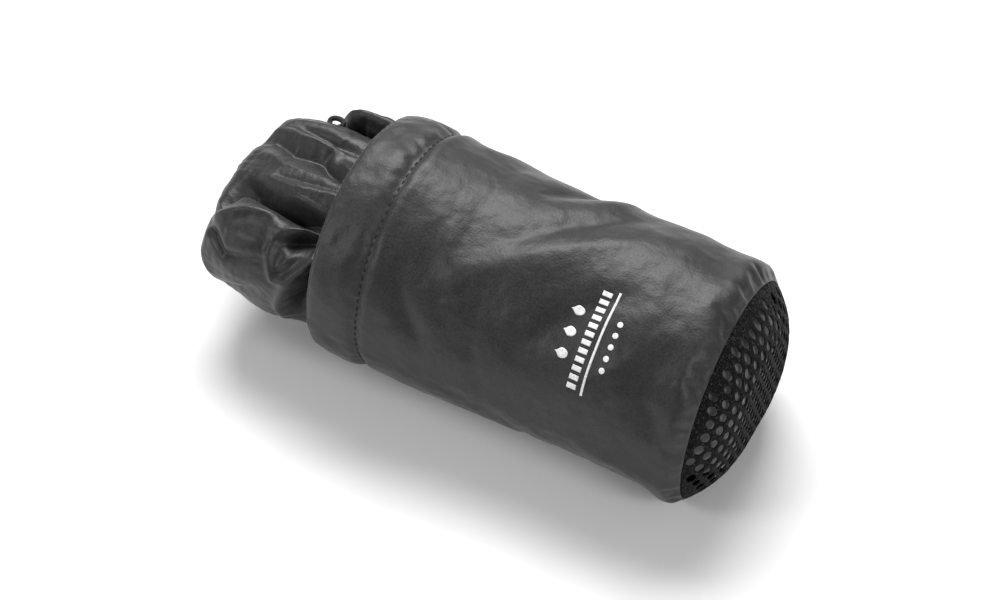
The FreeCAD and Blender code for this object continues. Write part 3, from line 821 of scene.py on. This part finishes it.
BUNDLE_COLUMNS = 150
BUNDLE_ROW = 1.6 * MM
BUNDLE_STROKES = 46
BUNDLE_PAST = 5 * MM  # how far the bundle's cloth is longer than its solid, to fill the mesh's dome
BUNDLE_SHARE = 0.97  # the size of its section, against the solid's
BUNDLE_PUSH = (-4 * MM, 2.2 * MM)
BEHIND_MESH = 1.1 * MM


def bundle_strokes(start, length):
    """Random long creases along the bundle, between two places in mm."""
    strokes = []
    for _ in range(BUNDLE_STROKES):
        x, turn = start + random.uniform(0.03, 0.95) * length, random.uniform(0, 360)
        run, lean = random.uniform(15, 60), random.uniform(-25, 25)
        half, deep = random.uniform(1.8, 4.5), random.choice((-1.9, -1.3, 1.0, 1.5))
        strokes.append((((x - run / 2, turn - lean), (x + run / 2, turn + lean)), half, deep))
    return strokes


def make_bundle():
    """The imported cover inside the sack: a rolled and folded bundle of cloth."""
    low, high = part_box("cover_bundle")
    half_width, height, base = high.y, high.z - low.z, low.z
    high.x += BUNDLE_PAST
    middle_x, half_length = (low.x + high.x) / 2, (high.x - low.x) / 2

    def place(x, degrees):
        along = abs(x * MM - middle_x) / half_length
        size = max(0.04, (1 - min(0.9999, along) ** 9) ** (1 / 2.4))
        margin = (1 - BUNDLE_SHARE) / 2 * height
        y, z = d_point(half_width * BUNDLE_SHARE, height * BUNDLE_SHARE, degrees / 360, base + margin)
        return x * MM, y * size, base + height / 2 + (z - base - height / 2) * size

    xs = np.linspace(low.x, high.x, 700) / MM
    xs_at = evenly(xs, np.array([(place(x, 0)[0], place(x, 90)[1]) for x in xs]), BUNDLE_ROW)
    grid = np.array([[place(x, 360 * j / BUNDLE_COLUMNS) for j in range(BUNDLE_COLUMNS)] for x in xs_at])
    flat = grid.reshape(-1, 3)
    push = stroke_heights(flat, bundle_strokes(low.x / MM, (high.x - low.x) / MM), place)
    for i, point in enumerate(flat):
        spot = Vector(point) * 45
        push[i] += noise.noise(spot) * 1.0 * MM + noise.noise(spot * 3) * 0.4 * MM
    push = np.clip(push, *BUNDLE_PUSH)
    flat = flat + grid_normals(grid).reshape(-1, 3) * push[:, None]
    for point in flat:
        if point[0] > SEAM_X - 2 * MM:
            reach = SEAM_X + dome_height(point[1], point[2])[0] - BEHIND_MESH
            point[0] = min(point[0], reach + noise.noise(Vector(point) * 110) * 0.4 * MM)
    bundle = grid_mesh("cover_bundle_cloth", flat.reshape(grid.shape), closed_end=True)
    add_cloth_map(bundle, len(xs_at), BUNDLE_COLUMNS, BUNDLE_ROW, BUNDLE_ROW)
    finish_bag(bundle)
    return bundle


LOOP_POINTS = 36
LOOP_SIDES = 12
LOOP_RADIUS = 1.15 * MM
LOOP_INSET = (2.1 * MM, 1.9 * MM)  # how far its middle line lies inside its box, along X and Y


def make_rim_loop():
    """A loop of the cover's rim elastic, standing up between two folds."""
    low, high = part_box("cover_rim_elastic")
    middle = (low + high) / 2
    wide, tall = (high.x - low.x) / 2 - LOOP_INSET[0], (high.y - low.y) / 2 - LOOP_INSET[1]
    path = []
    for i in range(LOOP_POINTS):
        angle = i * TURN / LOOP_POINTS
        ripple = 1 + 0.05 * math.sin(3 * angle + 0.6)
        x = middle.x + wide * ripple * math.cos(angle)
        y = middle.y + tall * ripple * math.sin(angle)
        path.append(Vector((x, y, middle.z + 0.8 * MM * math.sin(angle + 0.4))))
    bm = bmesh.new()
    add_tube(bm, path, LOOP_RADIUS, sides=LOOP_SIDES, closed=True)
    loop = from_bmesh("rim_elastic_loop", bm)
    points = get_points(loop)
    for i, point in enumerate(points):
        ring = i // LOOP_SIDES
        point += (point - np.array(path[ring])) * (0.08 if ring % 2 else -0.06)
    set_points(loop, points)
    subdivide(loop, 1)
    return loop


# ---- the print

# sizes in mm, first round the sack and then along it
RULE = (41.0, 0.9)
# how many, how far apart, their two sizes, and their distance from the rule
BARS = (12, 3.3, 1.9, 3.6, -4.2)
DROPS = (3, 8.5, 3.8, 5.2, -11.7)
DOTS = (5, 4.4, 2.2, 2.2, 5.0)
PRINT_LIFT = 0.1 * MM
FILM = 0.12 * MM
RULE_SHARE = 0.69  # where the rule lies along the mark's box


def add_patch(bm, tree, middle, size, shape, cells):
    """One flat shape laid on the sack. middle and size are (round the sack, along it), in mm."""
    low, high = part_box("print_mark")
    print_x = low.x + (high.x - low.x) * RULE_SHARE
    tilt = math.atan2(-(low.y + high.y) / 2, (low.z + high.z) / 2 - AXIS_Z)
    radius = BELLY[0] / MM
    verts = []
    for i in range(cells[1] + 1):
        row = []
        for j in range(cells[0] + 1):
            across, along = shape(2 * j / cells[0] - 1, 2 * i / cells[1] - 1)
            at = middle[0] + across * size[0] / 2
            x = print_x + (middle[1] + along * size[1] / 2) * MM
            row.append(bm.verts.new(on_sack(tree, x, tilt + at / radius, PRINT_LIFT)[0]))
        verts.append(row)
    for i in range(cells[1]):
        for j in range(cells[0]):
            bm.faces.new((verts[i][j], verts[i][j + 1], verts[i + 1][j + 1], verts[i + 1][j]))


def square(s, t):
    return s, t


def disc(s, t):
    return s * math.sqrt(1 - t * t / 2), t * math.sqrt(1 - s * s / 2)


def teardrop(s, t):
    """A disc drawn out to a point on one side."""
    a, b = disc(s, t)
    narrow = 1 - 0.85 * smoothstep(0.05, 1, -b)
    return a * narrow, b


def make_print(tree):
    """The printed mark: a rule, a row of bars, three drops and a row of dots."""
    bm = bmesh.new()
    add_patch(bm, tree, (0, 0), RULE, square, (60, 1))
    for (count, step, wide, long, offset), shape in ((BARS, square), (DROPS, teardrop), (DOTS, disc)):
        for i in range(count):
            at = (i - (count - 1) / 2) * step
            add_patch(bm, tree, (at, offset), (wide, long), shape, (6, 8))
    mark = from_bmesh("printed_mark", bm)
    film = mark.modifiers.new("film", "SOLIDIFY")
    film.thickness = FILM
    film.offset = 0
    apply_modifiers(mark)
    return mark


# ---- materials


# painted light: the light grey given to the packed cloth behind the mesh bottom, where it would lie in shade
PAINTED_LIGHT_GREY = 0.2
COVER_CLOTH = (0.015, 0.46)  # (shade, roughness)
SACK_CLOTH = (0.017, 0.48)


class Shader:
    """A material's node tree, built a node at a time."""

    def __init__(self, name):
        self.material = bpy.data.materials.new(name)
        self.material.use_nodes = True
        self.tree = self.material.node_tree
        self.surface = self.tree.nodes["Principled BSDF"]

    def node(self, kind, **inputs):
        """A node. An input that is an output socket is linked, and anything else is set as its value."""
        made = self.tree.nodes.new(kind)
        self.fill(made, **inputs)
        return made

    def fill(self, made, **inputs):
        for key, value in inputs.items():
            socket = made.inputs[int(key[1:])] if key[1:].isdigit() else made.inputs[key.replace("_", " ")]
            if isinstance(value, bpy.types.NodeSocket):
                self.tree.links.new(value, socket)
            else:
                socket.default_value = value

    def noise(self, scale, detail=2.0, vector=None):
        made = self.node("ShaderNodeTexNoise", Scale=scale, Detail=detail)
        self.tree.links.new(vector or self.place(), made.inputs["Vector"])
        return made.outputs["Fac"]

    def place(self):
        return self.node("ShaderNodeTexCoord").outputs["Object"]

    def cloth_map(self):
        made = self.node("ShaderNodeUVMap")
        made.uv_map = "cloth"
        return made.outputs["UV"]

    def math(self, operation, a, b=0.5, c=0.5):
        made = self.node("ShaderNodeMath", i0=a, i1=b, i2=c)
        made.operation = operation
        return made.outputs[0]

    def spread(self, value, low, high, new_low, new_high):
        made = self.node("ShaderNodeMapRange", Value=value)
        self.fill(made, From_Min=low, From_Max=high, To_Min=new_low, To_Max=new_high)
        return made.outputs["Result"]

    def mix(self, share, first, second):
        made = self.node("ShaderNodeMix")
        made.data_type = "RGBA"
        for index, value in ((0, share), (6, first), (7, second)):
            if isinstance(value, bpy.types.NodeSocket):
                self.tree.links.new(value, made.inputs[index])
            else:
                made.inputs[index].default_value = value
        return made.outputs[2]

    def finish(self, colour, roughness, normal, **more):
        self.fill(self.surface, Base_Color=colour, Roughness=roughness, Normal=normal, **more)
        return self.material

    def bump(self, height, strength, distance, below=None):
        made = self.node("ShaderNodeBump", Height=height, Strength=strength, Distance=distance)
        if below is not None:
            self.tree.links.new(below, made.inputs["Normal"])
        return made.outputs["Normal"]


def grey(value, tint=(1, 1, 1)):
    return (value * tint[0], value * tint[1], value * tint[2], 1)


def weave(shader, pitch):
    """A plain weave over the cloth map: 0 between threads and 1 on the top of one."""
    parts = shader.node("ShaderNodeSeparateXYZ", Vector=shader.cloth_map())
    warp = shader.math("SINE", shader.math("MULTIPLY", parts.outputs["X"], TURN / pitch))
    weft = shader.math("SINE", shader.math("MULTIPLY", parts.outputs["Y"], TURN / pitch))
    return shader.spread(shader.math("MULTIPLY", warp, weft), -1, 1, 0, 1)


def coated_cloth(name, shade, roughness, pitch=0.5 * MM, painted_light_x=None):
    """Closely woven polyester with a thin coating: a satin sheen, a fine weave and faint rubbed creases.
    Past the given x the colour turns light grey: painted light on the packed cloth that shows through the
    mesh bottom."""
    shader = Shader(name)
    threads = weave(shader, pitch)
    grain = shader.noise(1300, 4)
    patches = shader.noise(38, 4)
    slubs = shader.noise(260, 2)
    rubbed = shader.node("ShaderNodeNewGeometry").outputs["Pointiness"]
    rubbed = shader.spread(rubbed, 0.5, 0.56, 0, 0.35)
    tone = shader.math("MULTIPLY_ADD", grain, 0.6, shader.math("MULTIPLY", patches, 0.3))
    tone = shader.math("MULTIPLY_ADD", slubs, 0.2, tone)
    # painted shade: the weave's share of the tone makes the cloth darker between its threads, in their
    # hollows
    tone = shader.math("MULTIPLY_ADD", threads, 0.15, tone)
    dark, light = grey(shade * 0.45, (1, 1, 1.03)), grey(shade * 1.75, (1, 1, 1.02))
    colour = shader.mix(shader.spread(tone, 0.42, 0.85, 0, 1), dark, light)
    colour = shader.mix(rubbed, colour, grey(shade * 1.9))
    # painted light: past the given x the colour is mixed to a light grey, so that the packed cloth seen
    # through the mesh looks lit
    if painted_light_x is not None:
        along = shader.node("ShaderNodeSeparateXYZ", Vector=shader.place()).outputs["X"]
        painted_light_share = shader.spread(along, painted_light_x, painted_light_x + 3 * MM, 0, 1)
        colour = shader.mix(painted_light_share, colour, grey(PAINTED_LIGHT_GREY))
    rough = shader.math("MULTIPLY_ADD", grain, 0.22, shader.math("MULTIPLY", patches, 0.12))
    rough = shader.math("ADD", rough, roughness - 0.17)
    normal = shader.bump(threads, 0.2, 0.03 * MM)
    normal = shader.bump(grain, 0.8, 0.14 * MM, normal)
    normal = shader.bump(shader.noise(420, 3), 0.6, 0.16 * MM, normal)
    normal = shader.bump(shader.noise(70, 2), 0.65, 2.0 * MM, normal)
    gloss = {"Specular_IOR_Level": 0.42, "Sheen_Weight": 0.12, "Sheen_Roughness": 0.35}
    return shader.finish(colour, rough, normal, **gloss)


def knit_yarn():
    """Dull black polyester yarn with a fibrous surface and painted highlights: light grey specks for glints
    off its fibres.
    """
    shader = Shader("mesh_yarn")
    fibres = shader.noise(2200, 4)
    lumps = shader.noise(700, 2)
    colour = shader.mix(shader.spread(fibres, 0.35, 0.7, 0, 1), grey(0.0005), grey(0.006))
    # painted highlights: small light grey specks on the yarn stand in for glints off its fibres
    loops = shader.noise(1500, 1)
    colour = shader.mix(shader.spread(loops, 0.58, 0.68, 0, 0.7), colour, grey(0.06))
    normal = shader.bump(fibres, 0.9, 0.12 * MM)
    normal = shader.bump(lumps, 0.7, 0.2 * MM, normal)
    rough = shader.spread(fibres, 0, 1, 0.7, 0.95)
    return shader.finish(colour, rough, normal, Sheen_Weight=0.02, Specular_IOR_Level=0.12)


def sewing_thread():
    """Twisted black thread."""
    shader = Shader("thread_black")
    ply = shader.noise(3000, 2)
    colour = shader.mix(ply, grey(0.002), grey(0.014))
    normal = shader.bump(ply, 0.6, 0.06 * MM)
    return shader.finish(colour, shader.spread(ply, 0, 1, 0.5, 0.8), normal)


def ribbed(name, shade, pitch, axis):
    """A woven tape or elastic, ribbed across one axis."""
    shader = Shader(name)
    parts = shader.node("ShaderNodeSeparateXYZ", Vector=shader.place())
    ribs = shader.math("SINE", shader.math("MULTIPLY", parts.outputs[axis], TURN / pitch))
    ribs = shader.spread(ribs, -1, 1, 0, 1)
    fibres = shader.noise(2000, 3)
    # the tone is half random fibre tone and half painted shade: darker in the grooves between the ribs
    tone = shader.math("MULTIPLY_ADD", ribs, 0.5, shader.math("MULTIPLY", fibres, 0.5))
    colour = shader.mix(tone, grey(shade * 0.5), grey(shade * 1.6))
    normal = shader.bump(ribs, 0.7, 0.15 * MM)
    normal = shader.bump(fibres, 0.6, 0.06 * MM, normal)
    return shader.finish(colour, shader.spread(fibres, 0, 1, 0.6, 0.85), normal, Sheen_Weight=0.1)


def print_ink():
    """White screen ink, a little thin over the weave."""
    shader = Shader("ink_white")
    wear = shader.noise(900, 3)
    colour = shader.mix(shader.spread(wear, 0.3, 0.6, 0, 1), grey(0.62), grey(0.86))
    normal = shader.bump(shader.noise(2000, 2), 0.4, 0.04 * MM)
    return shader.finish(colour, shader.spread(wear, 0, 1, 0.4, 0.6), normal)


def floor_paint():
    shader = Shader("floor_white")
    tone = shader.noise(3, 2)
    shader.fill(shader.surface, Base_Color=shader.mix(tone, grey(0.86), grey(0.88)), Roughness=0.75)
    return shader.material


def paint(obj, material):
    if obj.data.materials:
        for index in range(len(obj.data.materials)):
            obj.data.materials[index] = material
    else:
        obj.data.materials.append(material)


# ---- studio


def make_floor():
    bm = bmesh.new()
    bmesh.ops.create_grid(bm, x_segments=8, y_segments=8, size=4)
    floor = from_bmesh("floor", bm)
    floor.location.z = -0.2 * MM
    paint(floor, floor_paint())


def add_area_light(name, place, size, power, aim=(0, 0, 0.04)):
    light = bpy.data.lights.new(name, "AREA")
    light.shape = "RECTANGLE"
    light.size, light.size_y = size
    light.energy = power
    obj = bpy.data.objects.new(name, light)
    obj.location = place
    obj.rotation_euler = (Vector(aim) - Vector(place)).to_track_quat("-Z", "Y").to_euler()
    bpy.context.scene.collection.objects.link(obj)


WORLD_STRENGTH = 0.24
# name, place in metres, size in metres, power in watts
AREA_LIGHTS = (
    ("overhead_back", (-0.35, 0.65, 1.15), (1.0, 0.6), 26),
    ("front_left", (-0.85, -0.85, 0.75), (0.35, 0.35), 5),
    ("right", (1.1, -0.5, 0.9), (0.5, 0.5), 7),
)


def make_lights():
    world = bpy.data.worlds.new("studio")
    world.use_nodes = True
    world.node_tree.nodes["Background"].inputs["Color"].default_value = (1, 1, 1, 1)
    world.node_tree.nodes["Background"].inputs["Strength"].default_value = WORLD_STRENGTH
    bpy.context.scene.world = world
    for light in AREA_LIGHTS:
        add_area_light(*light)


def make_camera():
    azimuth, elevation = math.radians(CAMERA_AZIMUTH), math.radians(CAMERA_ELEVATION)
    level = math.cos(elevation)
    back = Vector((math.sin(azimuth) * level, -math.cos(azimuth) * level, math.sin(elevation)))
    data = bpy.data.cameras.new("camera")
    data.lens = CAMERA_LENS
    data.clip_start = 0.01
    data.shift_x, data.shift_y = CAMERA_SHIFT
    camera = bpy.data.objects.new("camera", data)
    camera.rotation_mode = "QUATERNION"
    camera.location = CAMERA_TARGET + back * CAMERA_DISTANCE
    roll = Quaternion(back, math.radians(CAMERA_ROLL))
    camera.rotation_quaternion = roll @ (-back).to_track_quat("-Z", "Y")
    bpy.context.scene.collection.objects.link(camera)
    bpy.context.scene.camera = camera


# ---- everything together

TAPE_DEPTHS = (0.7 * MM, 1.7 * MM)
BINDING_DEPTHS = (0.7 * MM, 1.5 * MM)
ELASTIC_DEPTHS = (0.9 * MM, 1.6 * MM)
SIDE_COLUMNS = (39, 44)  # the side seam's columns of the sack's grid
WALL = 0.3 * MM


def dress(piece, material, body, slot, *nodes):
    """Gives a piece its material and its body, and hides the CAD nodes that it stands for. slot is not used.
    """
    paint(piece, material)
    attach(piece, body)
    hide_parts(*nodes)


def dress_sack(cloth, thread):
    """Everything that stays with the sack."""
    sack, rows = make_sack()
    add_cloth_map(sack, len(rows), SACK_COLUMNS, 1.8 * MM, 1.7 * MM)
    last = len(rows) - 1
    facing = make_lip(rows)
    elastic = inner_layer("mouth_elastic_band", rows, 2, 10, ELASTIC_DEPTHS)
    binding = inner_layer("bottom_binding_tape", rows, last - 4, last, BINDING_DEPTHS)
    seam = inner_layer("side_seam_tape", rows, BAND_ROWS + 1, last - 6, TAPE_DEPTHS, SIDE_COLUMNS)
    subdivide(sack, 1)
    tree = surface_of(sack)
    hem_stitches = make_stitch_row("hem_stitches", stitches_round(tree, STITCH_X))
    seam_places = stitches_round(tree, SEAM_X - 3.5 * MM, -1.0 * MM)
    seam_stitches = make_stitch_row("mesh_seam_stitches", seam_places)
    tape_places = stitches_along(tree, "side_seam_stitching", 1.9 * MM)
    tape_stitches = make_stitch_row("side_seam_stitches", tape_places)
    mark = make_print(tree)
    knit = make_knit()
    wall = sack.modifiers.new("wall", "SOLIDIFY")
    wall.thickness = WALL
    wall.offset = -1
    apply_modifiers(sack)
    for piece, material, slot, nodes in (
        (sack, cloth, "sack_cloth", ("sack_panel", "mouth_band")),
        (facing, cloth, "sack_cloth", ("band_facing",)),
        (elastic, ribbed("elastic_black", 0.02, 1.2 * MM, "X"), "elastic", ("mouth_elastic",)),
        (binding, ribbed("tape_black", 0.012, 0.8 * MM, "X"), "binding_tape", ("bottom_binding",)),
        (seam, ribbed("seam_tape_black", 0.012, 0.8 * MM, "Z"), "binding_tape", ("side_seam",)),
        (hem_stitches, thread, "thread", ("band_stitching",)),
        (seam_stitches, thread, "thread", ("bottom_stitching",)),
        (tape_stitches, thread, "thread", ("side_seam_stitching",)),
        (mark, print_ink(), "print_ink", ("print_mark",)),
        (knit, knit_yarn(), "mesh", ("mesh_bottom",)),
    ):
        dress(piece, material, "sack", slot, *nodes)
    return sack


def dress_folds(cloth):
    """The folds outside the mouth, and the loop of elastic between them."""
    main_nodes = ("cover_front_lobe", "cover_top_fold")
    paint(make_fold("cover_main_fold", main_nodes, 230, MAIN_FOLD_STROKES, 3), cloth)
    paint(make_fold("cover_back_fold_cloth", ("cover_back_fold",), 80, BACK_FOLD_STROKES, 13), cloth)
    elastic = ribbed("rim_elastic_black", 0.006, 0.9 * MM, "X")
    dress(make_rim_loop(), elastic, "cover", "elastic", "cover_rim_elastic")


random.seed(7)
cover_cloth = coated_cloth("cover_cloth_black", *COVER_CLOTH)
# the packed cover's cloth, with painted light near the mesh bottom
packed_cloth_painted_light = coated_cloth("cover_cloth_packed_painted_light", *COVER_CLOTH, painted_light_x=SEAM_X - 10 * MM)
sack_cloth = coated_cloth("sack_cloth_black", *SACK_CLOTH)

sack = dress_sack(sack_cloth, sewing_thread())
bundle = make_bundle()
dress(bundle, packed_cloth_painted_light, "cover", "cover_cloth", "cover_bundle")
dress_folds(cover_cloth)

make_floor()
make_lights()
make_camera()
bpy.context.scene.view_settings.view_transform = "Standard"
